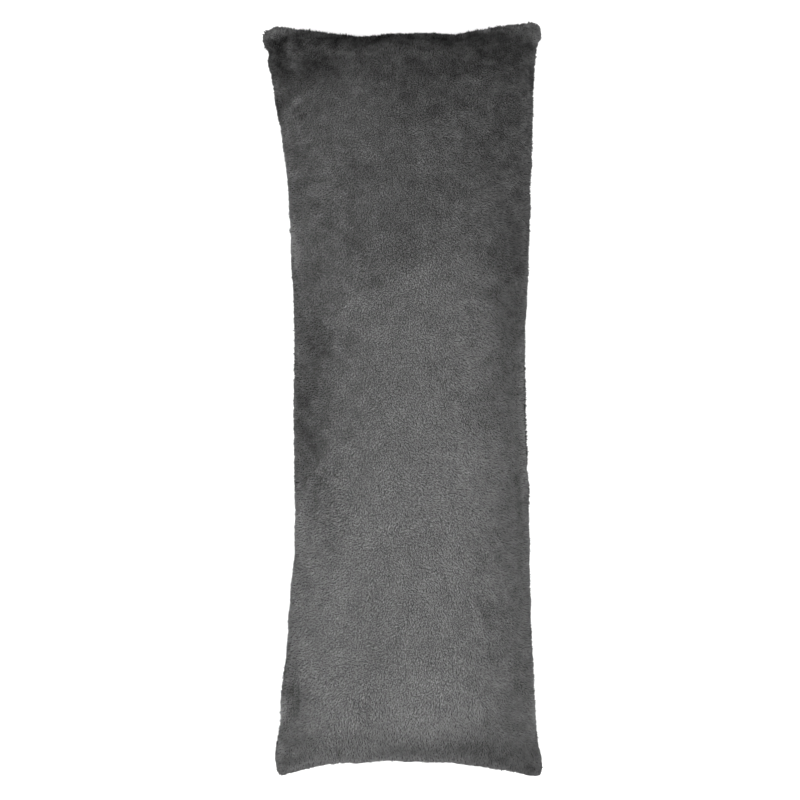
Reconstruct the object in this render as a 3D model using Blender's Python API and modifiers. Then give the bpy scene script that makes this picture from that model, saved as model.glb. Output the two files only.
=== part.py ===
"""A long plush body pillow, filled, lying on its back with its front panel up.

Two equal panels meet in a knife-edge seam. The filling rounds them into a crown, which draws
the long sides in and leaves four thin ears at the corners. Under its own weight the back panel
settles flat on the surface below, and the seam hangs between a third and a half of the way up.

Metres. +X runs across the pillow, +Y along it towards the head end and +Z up. The origin is on
the resting surface, under the middle of the pillow's box. The solid reaches to the tips of the
pile, so it is the size of the whole pillow and not of its backing cloth.
"""

import bmesh
import bpy
import numpy as np

NAME = "body_pillow"

# Driving dimensions
SEAM_AT_SIDE = 0.078  # height of the seam half way along a long side
SEAM_AT_END = 0.056  # and in the middle of an end
LIP = 0.013  # how far apart the two panels' outermost lines are, above and below the seam
VALLEY = 0.005  # how far the seam lies inside them
ROUNDING_LOSS = 0.0025  # how far the cage stands outside the surface that rounding makes of it

# How a panel swells from its edge to its crown: (1 - (1 - run) ** power) ** round
SWELL_POWER = 2.3
SWELL_ROUND = 0.62
END_RUN = 0.205  # the length over which an end swells to its full crown
SETTLED = 0.78  # the share of its swell at which the back panel meets the surface

# Outline and filling, one row for each section across the pillow
SECTIONS = np.array(
    [
        (-0.690, -0.2230, 0.2505, 0.108),
        (-0.668, -0.2295, 0.2562, 0.109),
        (-0.640, -0.2300, 0.2520, 0.110),
        (-0.590, -0.2225, 0.2445, 0.112),
        (-0.500, -0.2145, 0.2385, 0.113),
        (-0.400, -0.2070, 0.2355, 0.110),
        (-0.280, -0.1960, 0.2320, 0.107),
        (-0.150, -0.1950, 0.2300, 0.109),
        (0.000, -0.1980, 0.2240, 0.106),
        (0.120, -0.1955, 0.2225, 0.103),
        (0.240, -0.2025, 0.2290, 0.106),
        (0.360, -0.2070, 0.2330, 0.110),
        (0.480, -0.2205, 0.2360, 0.111),
        (0.570, -0.2350, 0.2395, 0.108),
        (0.630, -0.2445, 0.2430, 0.106),
        (0.668, -0.2560, 0.2545, 0.105),
        (0.690, -0.2450, 0.2480, 0.104),
    ],
    dtype=[("along", float), ("left", float), ("right", float), ("crown", float)],
)

# How far the two ends reach, from the left seam (-1) to the right seam (1)
ENDS = np.array(
    [
        (-1.00, 0.672, -0.6875),
        (-0.87, 0.681, -0.681),
        (-0.72, 0.675, -0.671),
        (-0.50, 0.668, -0.662),
        (-0.20, 0.663, -0.660),
        (0.10, 0.670, -0.661),
        (0.32, 0.666, -0.664),
        (0.55, 0.674, -0.670),
        (0.85, 0.686, -0.682),
        (1.00, 0.6865, -0.6865),
    ],
    dtype=[("across", float), ("head", float), ("foot", float)],
)

# Height of the seam at each ear, by the side and the end that it is on
EARS = np.array(
    [
        (-1, -1, 0.032),
        (1, -1, 0.038),
        (-1, 1, 0.042),
        (1, 1, 0.046),
    ],
    dtype=[("side", float), ("end", float), ("height", float)],
)

# Broad hollows that the filling leaves in the front panel: middle, heading, size and depth
HOLLOWS = np.array(
    [
        (-0.160, 0.030, 92.0, 0.170, 0.045, 0.013),  # along the waist, inside the left seam
        (-0.176, -0.530, 78.0, 0.075, 0.040, 0.013),  # above the left ear of the foot
        (-0.180, 0.530, 35.0, 0.075, 0.036, 0.009),  # the pull from the left ear of the head
        (0.176, -0.160, 88.0, 0.330, 0.045, 0.006),  # the long roll down the right side
        (-0.030, 0.200, 15.0, 0.120, 0.060, 0.004),  # where the filling thins below the head
    ],
    dtype=[
        ("x", float),
        ("y", float),
        ("heading", float),
        ("length", float),
        ("width", float),
        ("depth", float),
    ],
)

# The cage: cells across and along it, and how far its cuts crowd towards the two ends
CELLS_ACROSS = 12
CELLS_ALONG = 40
END_CROWDING = 0.72
SUBDIVISIONS = 1

PLUSH_COLOUR = (0.115, 0.115, 0.117)
PLUSH_ROUGHNESS = 0.92


def clear_scene():
    for old in list(bpy.data.objects):
        bpy.data.objects.remove(old, do_unlink=True)


def collection_for(name):
    made = bpy.data.collections.new(name)
    bpy.context.scene.collection.children.link(made)
    return made


def plush():
    material = bpy.data.materials.new("plush")
    material.use_nodes = True
    shader = material.node_tree.nodes["Principled BSDF"]
    shader.inputs["Base Color"].default_value = (*PLUSH_COLOUR, 1.0)
    shader.inputs["Roughness"].default_value = PLUSH_ROUGHNESS
    shader.inputs["Metallic"].default_value = 0.0
    return material


def smooth_curve(at, table, knots, column):
    """Cubic curve through a column of a table, with each knot's slope taken from its neighbours."""
    knots = table[knots]
    values = table[column]
    slopes = np.gradient(values, knots)
    first = np.clip(np.searchsorted(knots, at) - 1, 0, len(knots) - 2)
    span = knots[first + 1] - knots[first]
    u = (at - knots[first]) / span
    rise = 3 * u**2 - 2 * u**3
    return (
        values[first] * (1 - rise)
        + values[first + 1] * rise
        + span * (slopes[first] * (u**3 - 2 * u**2 + u) + slopes[first + 1] * (u**3 - u**2))
    )


def in_plan(across, along, inset):
    """Where a point of the cage lies in plan: between the two ends, then between the two sides."""
    head = smooth_curve(across, ENDS, "across", "head") - inset
    foot = smooth_curve(across, ENDS, "across", "foot") + inset
    y = foot + (head - foot) * (along + 1) / 2
    left = smooth_curve(y, SECTIONS, "along", "left") + inset
    right = smooth_curve(y, SECTIONS, "along", "right") - inset
    x = left + (right - left) * (across + 1) / 2
    return x, y, np.minimum(head - y, y - foot)


def seam_height(across, along):
    """Height of the seam, sagging towards the ends and down to each ear."""
    height = SEAM_AT_SIDE - (SEAM_AT_SIDE - SEAM_AT_END) * along**4
    for ear in EARS:
        nearness = np.clip(across * ear["side"], 0, 1) * np.clip(along * ear["end"], 0, 1)
        height = height + (ear["height"] - SEAM_AT_END) * nearness**6
    return height


def swell(run):
    """How far a panel has swollen, from 0 at its edge (run 0) to 1 at its crown (run 1)."""
    return (1 - (1 - np.clip(run, 0, 1)) ** SWELL_POWER) ** SWELL_ROUND


def hollow_depth(x, y):
    """Depth of the hollows at a point in plan, each a long soft dent that fades at its ends."""
    depth = np.zeros_like(x)
    for row in HOLLOWS:
        heading = np.radians(row["heading"])
        forward = (x - row["x"]) * np.cos(heading) + (y - row["y"]) * np.sin(heading)
        sideways = (y - row["y"]) * np.cos(heading) - (x - row["x"]) * np.sin(heading)
        spread = (forward / row["length"]) ** 2 + (sideways / row["width"]) ** 2
        depth = depth + row["depth"] * np.exp(-spread)
    return depth


def cut_cage():
    """A cube two units each way, cut across, along and once round its middle for the seam."""
    steps_across = np.linspace(-1, 1, CELLS_ACROSS + 1)[1:-1]
    steps_along = np.linspace(-1, 1, CELLS_ALONG + 1)[1:-1]
    cuts = {
        (1, 0, 0): np.sin(steps_across * np.pi / 2),
        (0, 1, 0): steps_along + END_CROWDING * np.sin(steps_along * np.pi) / np.pi,
        (0, 0, 1): np.zeros(1),
    }
    cage = bmesh.new()
    bmesh.ops.create_cube(cage, size=2.0)
    for normal, places in cuts.items():
        for place in places:
            bmesh.ops.bisect_plane(
                cage,
                geom=cage.verts[:] + cage.edges[:] + cage.faces[:],
                plane_co=[place * part for part in normal],
                plane_no=normal,
            )
    return cage


def shaped(points):
    """The pillow's points for the cut cube's: top face, seam line and bottom face."""
    across, along, level = points.T
    inset = np.where(level == 0, VALLEY, 0.0) - ROUNDING_LOSS
    x, y, from_end = in_plan(across, along, inset)
    swollen = swell(1 - np.abs(across)) * swell(from_end / END_RUN)
    seam = seam_height(across, along)
    crown = smooth_curve(y, SECTIONS, "along", "crown")
    front = seam + LIP / 2 + crown * swollen - hollow_depth(x, y) * swollen
    settled = 1 - (1 - np.clip(swollen / SETTLED, 0, 1)) ** 2
    back = (seam - LIP / 2) * (1 - settled)
    z = np.where(level > 0, front, np.where(level < 0, back, seam))
    return np.stack([x, y, z], axis=1)


def filled_pillow(collection):
    """Both panels round their filling: the cut cage, shaped and then rounded by subdivision."""
    cage = cut_cage()
    points = np.round([vert.co for vert in cage.verts], 6)
    for vert, place in zip(cage.verts, shaped(points)):
        vert.co = place
    mesh = bpy.data.meshes.new("pillow")
    cage.to_mesh(mesh)
    cage.free()
    mesh.shade_smooth()
    mesh.materials.append(plush())
    pillow = bpy.data.objects.new("pillow", mesh)
    collection.objects.link(pillow)
    rounding = pillow.modifiers.new("rounding", "SUBSURF")
    rounding.levels = SUBDIVISIONS
    rounding.render_levels = SUBDIVISIONS
    return pillow


def main():
    clear_scene()
    filled_pillow(collection_for(NAME))


main()
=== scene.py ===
# %% [markdown]
# # A plush body pillow
#
# The real thing is two long rectangles of short plush cloth, sewn face to face, turned out and
# stuffed. It could be one sculpted blob, but then nothing would say how it is made. Here the
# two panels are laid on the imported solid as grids, sewn into one bag, blown up by a cloth
# simulation, and then the pile is grown on them lock by lock.

import bpy
import numpy as np
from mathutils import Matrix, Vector


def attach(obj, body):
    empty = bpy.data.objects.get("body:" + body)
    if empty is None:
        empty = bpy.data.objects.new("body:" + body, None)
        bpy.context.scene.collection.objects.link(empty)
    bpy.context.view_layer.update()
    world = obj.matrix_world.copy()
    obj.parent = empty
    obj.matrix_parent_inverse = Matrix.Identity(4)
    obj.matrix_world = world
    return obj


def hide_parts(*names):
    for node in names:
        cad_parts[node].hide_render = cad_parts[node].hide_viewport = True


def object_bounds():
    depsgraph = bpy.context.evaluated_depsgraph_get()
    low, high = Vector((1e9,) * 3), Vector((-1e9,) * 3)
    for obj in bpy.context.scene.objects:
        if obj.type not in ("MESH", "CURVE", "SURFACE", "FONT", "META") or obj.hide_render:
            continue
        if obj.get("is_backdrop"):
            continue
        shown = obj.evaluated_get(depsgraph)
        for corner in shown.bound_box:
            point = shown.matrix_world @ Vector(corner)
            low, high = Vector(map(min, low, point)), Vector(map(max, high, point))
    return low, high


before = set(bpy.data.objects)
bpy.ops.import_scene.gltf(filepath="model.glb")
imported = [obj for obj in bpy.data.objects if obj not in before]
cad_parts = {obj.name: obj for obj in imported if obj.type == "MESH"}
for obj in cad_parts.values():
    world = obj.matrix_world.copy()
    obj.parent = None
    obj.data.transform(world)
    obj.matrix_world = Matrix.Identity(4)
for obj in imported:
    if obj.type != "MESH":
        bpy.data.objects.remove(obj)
cad_low, cad_high = (np.array(corner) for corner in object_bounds())
print("solid's box, m:", cad_low.round(4), cad_high.round(4))

# %% [markdown]
# ## Sizes
#
# A plush cover has a woven or knitted backing and a pile a few millimetres long. The packed
# solid reaches to the pile's tips, so the backing lies one pile depth inside it.

# %% Sizes in metres
PILE_DEPTH = 0.0055  # from the backing to the tips
CELL = 0.010  # cloth grid, as cut
FLOOR = float(cad_low[2])
CRUSHED_PILE = 0.0012  # pile between the backing and the floor, under the pillow's weight

# %% [markdown]
# ## The outline, measured on the solid
#
# The seam shows in plan as the pillow's outline: two long sides that draw in and two short
# ends that dip between the ears. A plane through the solid cuts its edges, and the outermost
# cut on each plane is a point of the outline.

# %% Read the solid and find its four ears
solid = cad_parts["pillow"]


def mesh_points(mesh):
    """All vertex places of a mesh as an n by 3 array."""
    flat = np.empty(len(mesh.vertices) * 3, np.float32)
    mesh.vertices.foreach_get("co", flat)
    return flat.reshape(-1, 3).astype(float)


def mesh_edges(mesh):
    """All edges of a mesh as an n by 2 array of vertex numbers."""
    flat = np.empty(len(mesh.edges) * 2, np.int32)
    mesh.edges.foreach_get("vertices", flat)
    return flat.reshape(-1, 2)


solid_points = mesh_points(solid.data)
solid_edges = mesh_edges(solid.data)


def ear_tip(side, end):
    """The point furthest along the diagonal of that side (-1, 1) and that end (-1, 1)."""
    reach = solid_points[:, 0] * side + solid_points[:, 1] * end
    return solid_points[np.argmax(reach), :2]


tips = {(side, end): ear_tip(side, end) for side in (-1, 1) for end in (-1, 1)}
print("ears at, m:", {ear: tip.round(3).tolist() for ear, tip in tips.items()})


# %% Follow the sides and the ends
def outermost(axis, places, outward):
    """For each place on one plan axis, how far the solid reaches on the other one.

    An edge from p to q crosses the plane at p + (q - p) * t with t = (place - p) / (q - p),
    and the furthest crossing on the outward side counts.
    """
    start = solid_points[solid_edges[:, 0]]
    finish = solid_points[solid_edges[:, 1]]
    run = finish[:, axis] - start[:, axis]
    run = np.where(np.abs(run) < 1e-9, 1e-9, run)
    share = (places[:, None] - start[None, :, axis]) / run[None, :]
    other = 1 - axis
    crossing = start[None, :, other] + share * (finish - start)[None, :, other]
    crossing = np.where((share >= 0) & (share <= 1), crossing * outward, -np.inf)
    return crossing.max(axis=1) * outward


OUTLINE_STEPS = 260
EDGES = {"left": (0, -1), "right": (0, 1), "foot": (1, -1), "head": (1, 1)}  # plan axis, way out


def edge_line(axis, outward):
    """Points of one edge, from its ear at the left or the foot to its other ear."""
    other = 1 - axis
    ears = [tips[(outward, end) if axis == 0 else (end, outward)] for end in (-1, 1)]
    points = np.empty((OUTLINE_STEPS, 2))
    points[:, other] = np.linspace(ears[0][other], ears[1][other], OUTLINE_STEPS)
    points[:, axis] = outermost(other, points[:, other], outward)
    return points


def running_length(line):
    """How far along a line each of its points is."""
    steps = np.linalg.norm(np.diff(line, axis=0), axis=1)
    return np.concatenate([[0.0], np.cumsum(steps)])


def along_line(line, share):
    """Places at shares of a line's length: its own running length, looked up."""
    length = running_length(line)
    at = np.asarray(share) * length[-1]
    return np.stack([np.interp(at, length, line[:, k]) for k in range(2)], axis=-1)


lines = {name: edge_line(*edge) for name, edge in EDGES.items()}
print("outline, m:", {name: (line[0].round(3).tolist(), line[-1].round(3).tolist())
                      for name, line in lines.items()})


# %% [markdown]
# ## Two panels on a grid
#
# Each panel is a rectangle of cloth with two parameters: `across` from the left seam (0) to the
# right seam (1) and `along` from the foot (0) to the head (1). A Coons patch blends the four
# outline curves into the panel's plan, and Shrinkwrap drops its points on the solid.

# %% From parameters to a place in plan
def in_plan(across, along):
    """Coons patch: the sides blended across, plus the ends blended along, less the corners."""
    u, v = across[..., None], along[..., None]
    left, right = along_line(lines["left"], along), along_line(lines["right"], along)
    foot, head = along_line(lines["foot"], across), along_line(lines["head"], across)
    corners = (
        (1 - u) * (1 - v) * lines["left"][0]
        + u * (1 - v) * lines["right"][0]
        + (1 - u) * v * lines["left"][-1]
        + u * v * lines["right"][-1]
    )
    return (1 - u) * left + u * right + (1 - v) * foot + v * head - corners


def linked(name, data):
    """A new object in the scene, at the origin."""
    made = bpy.data.objects.new(name, data)
    bpy.context.scene.collection.objects.link(made)
    return made


def evaluated(piece):
    """The piece as its modifiers leave it."""
    return piece.evaluated_get(bpy.context.evaluated_depsgraph_get())


def dropped_on_solid(plan, facing):
    """Heights where vertical lines through plan points meet the solid, front (1) or back (-1)."""
    start = np.concatenate([plan, np.full((*plan.shape[:-1], 1), facing * 1.0)], axis=-1)
    mesh = bpy.data.meshes.new("dropped")
    mesh.from_pydata(start.reshape(-1, 3).tolist(), [], [])
    helper = linked("dropped", mesh)
    wrap = helper.modifiers.new("drop", "SHRINKWRAP")
    wrap.target = solid
    wrap.wrap_method = "PROJECT"
    wrap.use_project_z = True
    wrap.use_negative_direction = facing > 0
    wrap.use_positive_direction = facing < 0
    height = mesh_points(evaluated(helper).data)[:, 2].reshape(plan.shape[:-1])
    bpy.data.objects.remove(helper, do_unlink=True)
    bpy.data.meshes.remove(mesh)
    return height


trial = np.linspace(0.02, 0.98, 7)
for facing in (1, -1):
    print("heights across the middle, m:",
          dropped_on_solid(in_plan(trial, np.full(7, 0.5)), facing).round(3))


# %% [markdown]
# ## Even cloth
#
# Cloth is cut flat, so the grid's lines should be evenly spaced along the cloth and not in
# plan, where the steep sides would get too few. The running length over the solid's middle
# lines, turned round, gives the plan position of each evenly spaced line.

# %% Spread the grid lines evenly along the cloth
FINE = np.linspace(0.004, 0.996, 500)


def even_lines(cells, place):
    """Shares in plan of cells + 1 lines that are evenly spaced over the front panel."""
    plan = in_plan(*place(FINE))
    path = np.concatenate([plan, dropped_on_solid(plan, 1)[:, None]], axis=1)
    length = running_length(path)
    even = np.interp(np.linspace(0, length[-1], cells + 1), length, FINE)
    even[0], even[-1] = 0.0, 1.0
    return even, length[-1]


half = np.full(len(FINE), 0.5)
_, cloth_width = even_lines(2, lambda share: (share, half))
_, cloth_length = even_lines(2, lambda share: (half, share))
CELLS_ACROSS = round(cloth_width / CELL)
CELLS_ALONG = round(cloth_length / CELL)
across_lines, _ = even_lines(CELLS_ACROSS, lambda share: (share, half))
along_lines, _ = even_lines(CELLS_ALONG, lambda share: (half, share))
print(f"front panel over its crown: {cloth_width:.3f} x {cloth_length:.3f} m,",
      f"{CELLS_ACROSS} x {CELLS_ALONG} cells")


# %% [markdown]
# ## Fades, ramps and noise
#
# Nothing on a soft thing starts or stops sharply, and nothing on it is quite even. So every
# bump, fold and shade below is faded out round its middle by one bell curve, what changes from
# place to place runs up a ramp, and unevenness is smooth noise. Random numbers at each point
# would give grit. Here they are blended over a chosen size, and seeded, so that each run is
# the same.

# %% Fades and ramps
def fading(distance, reach):
    """A bell curve, exp(-(distance / reach)^2): 1 in its middle, nearly 0 at twice its reach."""
    return np.exp(-((distance / reach) ** 2))


def humped(distance, reach):
    """Nothing at 0, 1 at its reach and less beyond: (d / r) exp(1 - d / r)."""
    return distance / reach * np.exp(1 - distance / reach)


def ramp(value, start, end):
    """A straight line from 0 at the start to 1 at the end, and level before and after."""
    return np.clip((value - start) / (end - start), 0, 1)


# %% Smooth noise
LATTICE = 64


def soft_noise(x, y, size, seed):
    """Noise from about -1 to 1 whose bumps are about size wide.

    The mean of two lattices of random numbers, each turned by an angle of its own and blended
    between its points with 3 t^2 - 2 t^3, and made 1.4 times as strong.
    """
    rng = np.random.default_rng(seed)
    total = np.zeros(np.broadcast(x, y).shape)
    for _ in range(2):
        turn = rng.uniform(0, 2 * np.pi)
        draw = rng.uniform(-1, 1, (LATTICE, LATTICE))
        at_x = (x * np.cos(turn) - y * np.sin(turn)) / size
        at_y = (x * np.sin(turn) + y * np.cos(turn)) / size
        left, low = np.floor(at_x).astype(int), np.floor(at_y).astype(int)
        t, w = at_x - left, at_y - low
        t, w = t * t * (3 - 2 * t), w * w * (3 - 2 * w)
        left, low, right, high = (n % LATTICE for n in (left, low, left + 1, low + 1))
        lower = draw[left, low] * (1 - t) + draw[right, low] * t
        upper = draw[left, high] * (1 - t) + draw[right, high] * t
        total += lower * (1 - w) + upper * w
    return 0.7 * total


# %% [markdown]
# ## The rim
#
# A stuffed edge is never straight. Its filling pushes it out in some places, the stitches hold
# it back in others, and here and there the seam rolls on to the front, so that the back panel
# shows as a thin dark line beyond it. Each of these is a row in a table: which edge, how far
# along it, over what half length, and how much. Moving vertices by hand would be lost when the
# grid changes, but the rows hold for any grid.

# %% What the rim does along its four edges
RIM_WIDTH = 0.022  # how far in from the rim it is felt
RIM_WAVES = ((0.120, 0.0012), (0.038, 0.0013), (0.017, 0.0009))  # size and height of chance waves
REACH = (0.0020, 0.0035)  # how much further the filling pushes the sides, and the ends
ROLLED = 0.0060  # how far the seam rolls on to the front panel, at most
ROLLED_OUT = 0.4  # the share of it by which the back panel then stands out beyond the seam
ROLLED_PLACES = (  # edge, middle and half length in shares of it, and how much of it rolls
    ("right", 0.48, 0.08, 1.0),
    ("right", 0.05, 0.03, 0.8),
    ("left", 0.055, 0.018, 1.0),
    ("left", 0.150, 0.040, 1.0),
    ("left", 0.876, 0.020, 1.2),
    ("foot", 0.45, 0.35, 0.35),
)
BULGES = (  # edge, middle and half length in shares of it, and how far it stands out or in
    ("left", 0.030, 0.020, 0.0012),
    ("left", 0.080, 0.010, -0.0018),
    ("left", 0.100, 0.035, 0.0043),
    ("left", 0.139, 0.010, 0.0020),
    ("left", 0.193, 0.015, -0.0020),
    ("left", 0.260, 0.030, 0.0020),
    ("left", 0.430, 0.060, 0.0010),
    ("left", 0.720, 0.120, -0.0024),
    ("left", 0.878, 0.014, 0.0024),
    ("left", 0.949, 0.012, 0.0032),
    ("left", 0.956, 0.007, 0.0030),
    ("left", 0.970, 0.007, -0.0052),
    ("left", 1.000, 0.008, -0.0075),
    ("right", 0.040, 0.018, -0.0012),
    ("right", 0.063, 0.012, -0.0024),
    ("right", 0.085, 0.030, 0.0016),
    ("right", 0.340, 0.025, -0.0018),
    ("right", 0.430, 0.014, -0.0014),
    ("right", 0.510, 0.050, 0.0020),
    ("right", 0.750, 0.012, 0.0018),
    ("right", 0.770, 0.030, -0.0012),
    ("right", 0.972, 0.011, -0.0040),
    ("right", 1.000, 0.006, -0.0065),
    ("foot", 0.310, 0.020, 0.0026),
    ("foot", 0.490, 0.030, 0.0014),
    ("foot", 0.640, 0.050, -0.0018),
    ("foot", 0.750, 0.030, 0.0014),
    ("foot", 0.840, 0.050, 0.0018),
    ("foot", 0.960, 0.030, 0.0020),
    ("head", 0.000, 0.013, -0.0090),
    ("head", 0.040, 0.034, 0.0050),
    ("head", 0.360, 0.065, -0.0022),
    ("head", 0.530, 0.090, 0.0020),
    ("head", 0.695, 0.035, -0.0036),
    ("head", 0.757, 0.030, 0.0012),
    ("head", 1.000, 0.012, -0.0065),
)


def edges_of(x, y):
    """For each edge of the cut, how far a place is from it and along it, and the edge's length."""
    return {
        "left": (x, y, cloth_length),
        "right": (cloth_width - x, y, cloth_length),
        "foot": (y, x, cloth_width),
        "head": (cloth_length - y, x, cloth_width),
    }


def bumps(table, edge, share):
    """The sum of a table's bumps on one edge: height * exp(-((share - middle) / half)^2)."""
    total = np.zeros_like(share)
    for place, middle, half, height in table:
        if place == edge:
            total = total + height * fading(share - middle, half)
    return total


def wavy(points, u, v, facing):
    """Moves the rim out in plan, by (reach + waves + bumps) * exp(-(distance / RIM_WIDTH)^2)."""
    x, y = u * cloth_width, v * cloth_length
    rolled = ROLLED * (-1 if facing > 0 else ROLLED_OUT)
    for seed, (edge, (distance, running, length)) in enumerate(edges_of(x, y).items()):
        (axis, outward), share = EDGES[edge], running / length
        wave = sum(
            height * soft_noise(running, 0, size, 500 + 10 * seed + number)
            for number, (size, height) in enumerate(RIM_WAVES)
        )
        wave = wave + bumps(BULGES, edge, share) + rolled * bumps(ROLLED_PLACES, edge, share)
        points[..., axis] += outward * (wave + REACH[axis]) * fading(distance, RIM_WIDTH)
    return points


# %% [markdown]
# ## The panels on the solid
#
# Blender's Shrinkwrap could hold the finished cloth on the solid, but then nothing finer than
# the solid could be added. So it is used once, to read heights, and the points are free after
# that. They move in along their normals by the depth of the pile, less where it leans or is
# crushed.

# %% Lay the two panels on the solid
EDGE_CLEARANCE = 0.0007  # the outermost drop stays this far inside the outline
RIM_DEPTH = 0.2  # along the rim the pile leans out, so this share of its depth is left
CRUSHED_SLOPE = 0.5  # how fast the pile's depth grows with its height above the floor


def unit_normals(points, facing):
    """Cross product of a grid's two tangents, made one long and turned to the panel's outside."""
    normal = np.cross(np.gradient(points, axis=0), np.gradient(points, axis=1)) * facing
    return normal / np.linalg.norm(normal, axis=-1, keepdims=True)


def panel_on_solid(facing):
    """One panel's grid of points, moved in from the solid's skin along the normal by the pile.

    The depth goes down towards the rim as 1 - (1 - RIM_DEPTH) exp(-(d / width)^2), and towards
    the floor, where the pile is crushed, with the height above it.
    """
    u, v = np.meshgrid(across_lines, along_lines, indexing="ij")
    inner_u = 0.5 + (u - 0.5) * (1 - 2 * EDGE_CLEARANCE / cloth_width)
    inner_v = 0.5 + (v - 0.5) * (1 - 2 * EDGE_CLEARANCE / cloth_length)
    plan = in_plan(inner_u, inner_v)
    points = np.concatenate([plan, dropped_on_solid(plan, facing)[..., None]], axis=-1)
    row, column = np.indices(u.shape)
    from_rim = np.minimum.reduce([row, CELLS_ACROSS - row, column, CELLS_ALONG - column])
    depth = PILE_DEPTH * (1 - (1 - RIM_DEPTH) * fading(from_rim * CELL, RIM_WIDTH))
    depth = np.minimum(depth, CRUSHED_PILE + CRUSHED_SLOPE * (points[..., 2] - FLOOR))
    points = points - unit_normals(points, facing) * depth[..., None]
    points = wavy(points, u, v, facing)
    points[..., 2] = np.maximum(points[..., 2], FLOOR + CRUSHED_PILE)
    return points


front = panel_on_solid(1)
back = panel_on_solid(-1)
print("front panel's grid:", front.shape, "highest, m:", front[..., 2].max().round(4))


# %% [markdown]
# ## Sewing
#
# Right sides together, sewn round and turned out: the two panels' edges become one line. The
# bag is one closed mesh whose front and back grids share their rim. The seam pulls in a little
# between the two panels, which leaves the groove that a knife edge seam has in thick cloth.

# %% Sew the panels into one bag
SEAM_TUCK = 0.0018  # how far the stitches pull the seam in


def rim_mask(shape):
    """True on the four borders of a grid."""
    mask = np.ones(shape, bool)
    mask[1:-1, 1:-1] = False
    return mask


def seam_line(front, back):
    """The rim that both panels share: half way between them, and pulled in by the tuck."""
    rim = (front + back) / 2
    outward = unit_normals(front, 1) + unit_normals(back, -1)
    outward /= np.linalg.norm(outward, axis=-1, keepdims=True)
    return rim - outward * SEAM_TUCK


def numbered(shape):
    """Vertex numbers of the front's grid and of the back's, which share those on the rim."""
    front_numbers = np.arange(shape[0] * shape[1]).reshape(shape)
    back_numbers = front_numbers.copy()
    inner = ~rim_mask(shape)
    back_numbers[inner] = front_numbers.size + np.arange(inner.sum())
    return front_numbers, back_numbers


def quads_of(numbers, facing):
    """A grid's cells as quads, whose order round each cell turns them to face outwards."""
    corners = [numbers[:-1, :-1], numbers[1:, :-1], numbers[1:, 1:], numbers[:-1, 1:]]
    return np.stack(corners[::facing], axis=-1).reshape(-1, 4)


def set_points(vertices, points):
    """Puts an n by 3 array in the vertices of a mesh or of a shape key."""
    vertices.foreach_set("co", points.astype(np.float32).ravel())


def mesh_of(name, points, faces):
    """A smooth mesh object from whole arrays of points and faces with equally many corners."""
    mesh = bpy.data.meshes.new(name)
    mesh.vertices.add(len(points))
    set_points(mesh.vertices, points)
    mesh.loops.add(faces.size)
    mesh.loops.foreach_set("vertex_index", faces.astype(np.int32).ravel())
    mesh.polygons.add(len(faces))
    first_corners = np.arange(0, faces.size, faces.shape[1], dtype=np.int32)
    mesh.polygons.foreach_set("loop_start", first_corners)
    mesh.update(calc_edges=True)
    mesh.shade_smooth()
    return linked(name, mesh)


front_numbers, back_numbers = numbered(front.shape[:2])
seam_numbers = front_numbers[rim_mask(front.shape[:2])]
bag_points = np.empty((back_numbers.max() + 1, 3))
bag_points[back_numbers] = back
bag_points[front_numbers] = front
bag_points[seam_numbers] = seam_line(front, back)[rim_mask(front.shape[:2])]
bag_faces = np.concatenate([quads_of(front_numbers, 1), quads_of(back_numbers, -1)])
bag = mesh_of("bag", bag_points, bag_faces)
print("bag:", len(bag_points), "points,", len(bag_faces), "quads")


# %% [markdown]
# ## Filling it
#
# Blender's cloth takes pressure from inside in place of fibre. Its springs want the length of
# the flat cut, which is a shape key here, so what is too much along the sides gathers there,
# as it does in a sewn pillow. The seam is held on its line, and so is what lies on the floor.

# %% Blow the bag up
CUT_WIDTH = 1.03 * cloth_width
CUT_LENGTH = 1.02 * cloth_length
PRESSURE = 4.0
SIM_FRAMES = 20

JUST_ABOVE = 0.0003
resting = np.flatnonzero(bag_points[:, 2] < FLOOR + CRUSHED_PILE + JUST_ABOVE)
held = np.union1d(seam_numbers, resting)


def flat_cut():
    """The bag's points as cut: both panels flat, one on the other, with even cells."""
    x = np.linspace(-CUT_WIDTH / 2, CUT_WIDTH / 2, front.shape[0])
    y = np.linspace(-CUT_LENGTH / 2, CUT_LENGTH / 2, front.shape[1])
    x, y = np.meshgrid(x, y, indexing="ij")
    flat = np.zeros_like(bag_points)
    for numbers in (front_numbers, back_numbers):
        flat[numbers, 0] = x
        flat[numbers, 1] = y
    return flat


def blown_up(piece):
    """Runs the cloth simulation and returns where it leaves the piece's points."""
    group = piece.vertex_groups.new(name="held")
    group.add(held.tolist(), 1.0, "REPLACE")
    piece.shape_key_add(name="sewn")
    cut = piece.shape_key_add(name="cut")
    set_points(cut.data, flat_cut())
    cloth = piece.modifiers.new("filling", "CLOTH")
    fabric = cloth.settings
    fabric.quality = 6
    fabric.mass = 0.01
    fabric.bending_stiffness = 0.3
    fabric.vertex_group_mass = "held"
    fabric.rest_shape_key = cut
    fabric.use_pressure = True
    fabric.uniform_pressure_force = PRESSURE
    fabric.effector_weights.gravity = 0.0
    cloth.collision_settings.use_collision = False
    cloth.point_cache.frame_start = 1
    cloth.point_cache.frame_end = SIM_FRAMES
    for step in range(1, SIM_FRAMES + 1):
        bpy.context.scene.frame_set(step)
    points = mesh_points(evaluated(piece).data)
    piece.modifiers.remove(cloth)
    piece.shape_key_clear()
    piece.vertex_groups.remove(group)
    bpy.context.scene.frame_set(1)
    return points


# %% [markdown]
# ## Keeping the crown
#
# The simulation does two things: it makes the small gathers, and it lets the whole bag swell
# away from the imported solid. Only the first is wanted, so the broad part of each panel's move
# is taken off again, and what is left is capped.

# %% Take the gathers and leave the swelling
BROAD = 0.100  # moves wider than this are the swelling
SWELLING_REMOVED = 0.85
LARGEST_MOVE = 0.010


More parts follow.
